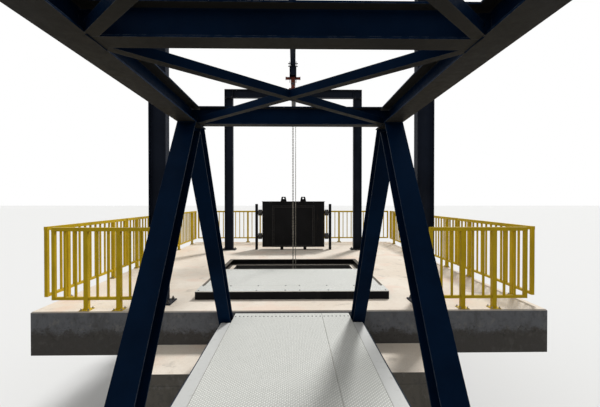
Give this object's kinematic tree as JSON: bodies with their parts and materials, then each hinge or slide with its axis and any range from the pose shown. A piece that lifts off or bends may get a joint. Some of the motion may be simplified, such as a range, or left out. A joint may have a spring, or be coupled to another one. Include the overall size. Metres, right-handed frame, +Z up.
{
  "type": "sluice gate tower",
  "caption": "Concrete gate shaft with a railed platform, steel truss footbridge, portal gantry with monorail chain hoist, open hatch, and a wheeled gate leaf parked upright.",
  "frame": {"origin": "under the middle of the whole plan, at the foot of the tower walls", "axes": "+Y from the footbridge to the tower, +X to the right, +Z up"},
  "size_m": [7.16, 17.44, 7.95],
  "materials": {
    "concrete": "cast concrete, pale sunlit top, grey stained sides",
    "leaf_steel": "near-black satin coating",
    "gantry_steel": "dark blue-grey semi-gloss paint",
    "bridge_steel": "dark navy semi-gloss paint",
    "plate_paint": "light grey chequered plate",
    "railing_paint": "safety yellow gloss paint",
    "hoist_paint": "worn orange-red paint",
    "chain_steel": "galvanised chain",
    "wheel_iron": "machined tread, dark sides",
    "seal_rubber": "matt rubber under clamp bars"
  },
  "bodies": {
    "tower": {"platform_slab": "concrete", "bridge_seat": "concrete", "front_well_wall": "concrete", "rear_well_wall": "concrete", "left_wall": "concrete", "right_wall": "concrete", "rear_wall": "concrete", "hatch_kerb": "leaf_steel", "gate_guides": "leaf_steel", "front_left_column": "gantry_steel", "front_right_column": "gantry_steel", "rear_left_column": "gantry_steel", "rear_right_column": "gantry_steel", "front_portal_beam": "gantry_steel", "rear_portal_beam": "gantry_steel", "monorail_beam": "gantry_steel", "bridge_bearings": "gantry_steel", "left_bottom_chord": "bridge_steel", "right_bottom_chord": "bridge_steel", "left_top_chord": "bridge_steel", "right_top_chord": "bridge_steel", "left_diagonals": "bridge_steel", "right_diagonals": "bridge_steel", "top_crossbeams": "bridge_steel", "top_bracing": "bridge_steel", "floor_frame": "bridge_steel", "hatch_covers": "plate_paint", "deck_plates": "plate_paint", "front_left_railing": "railing_paint", "front_right_railing": "railing_paint", "left_railing": "railing_paint", "right_railing": "railing_paint", "rear_railing": "railing_paint"},
    "hoist_carriage": {"trolley": "gantry_steel", "suspension_shaft": "hoist_paint", "chain_hoist": "hoist_paint", "load_chain": "chain_steel", "hand_chain": "chain_steel", "load_hook": "hoist_paint"},
    "leaf": {"leaf_skin": "leaf_steel", "leaf_girders": "leaf_steel", "leaf_seal": "seal_rubber", "lifting_lugs": "leaf_steel", "left_end_beam": "leaf_steel", "right_end_beam": "leaf_steel"},
    "upper_left_wheel": {"upper_left_wheel": "wheel_iron"},
    "upper_right_wheel": {"upper_right_wheel": "wheel_iron"},
    "lower_left_wheel": {"lower_left_wheel": "wheel_iron"},
    "lower_right_wheel": {"lower_right_wheel": "wheel_iron"}
  },
  "joints": [
    {"name": "trolley_travel", "type": "slide", "parent": "tower", "child": "hoist_carriage", "axis": [0, 1, 0], "range_m": [-0.5, 0.35]},
    {"name": "leaf_lift", "type": "slide", "parent": "tower", "child": "leaf", "axis": [0, 0, 1], "range_m": [0, 2]},
    {"name": "upper_left_wheel_spin", "type": "hinge", "parent": "leaf", "child": "upper_left_wheel", "pos_m": [-1.0375, 6.76, 4.15], "axis": [1, 0, 0], "continuous": true},
    {"name": "upper_right_wheel_spin", "type": "hinge", "parent": "leaf", "child": "upper_right_wheel", "pos_m": [1.0375, 6.76, 4.15], "axis": [1, 0, 0], "continuous": true},
    {"name": "lower_left_wheel_spin", "type": "hinge", "parent": "leaf", "child": "lower_left_wheel", "pos_m": [-1.0375, 6.76, 3.416], "axis": [1, 0, 0], "continuous": true},
    {"name": "lower_right_wheel_spin", "type": "hinge", "parent": "leaf", "child": "lower_right_wheel", "pos_m": [1.0375, 6.76, 3.416], "axis": [1, 0, 0], "continuous": true}
  ]
}
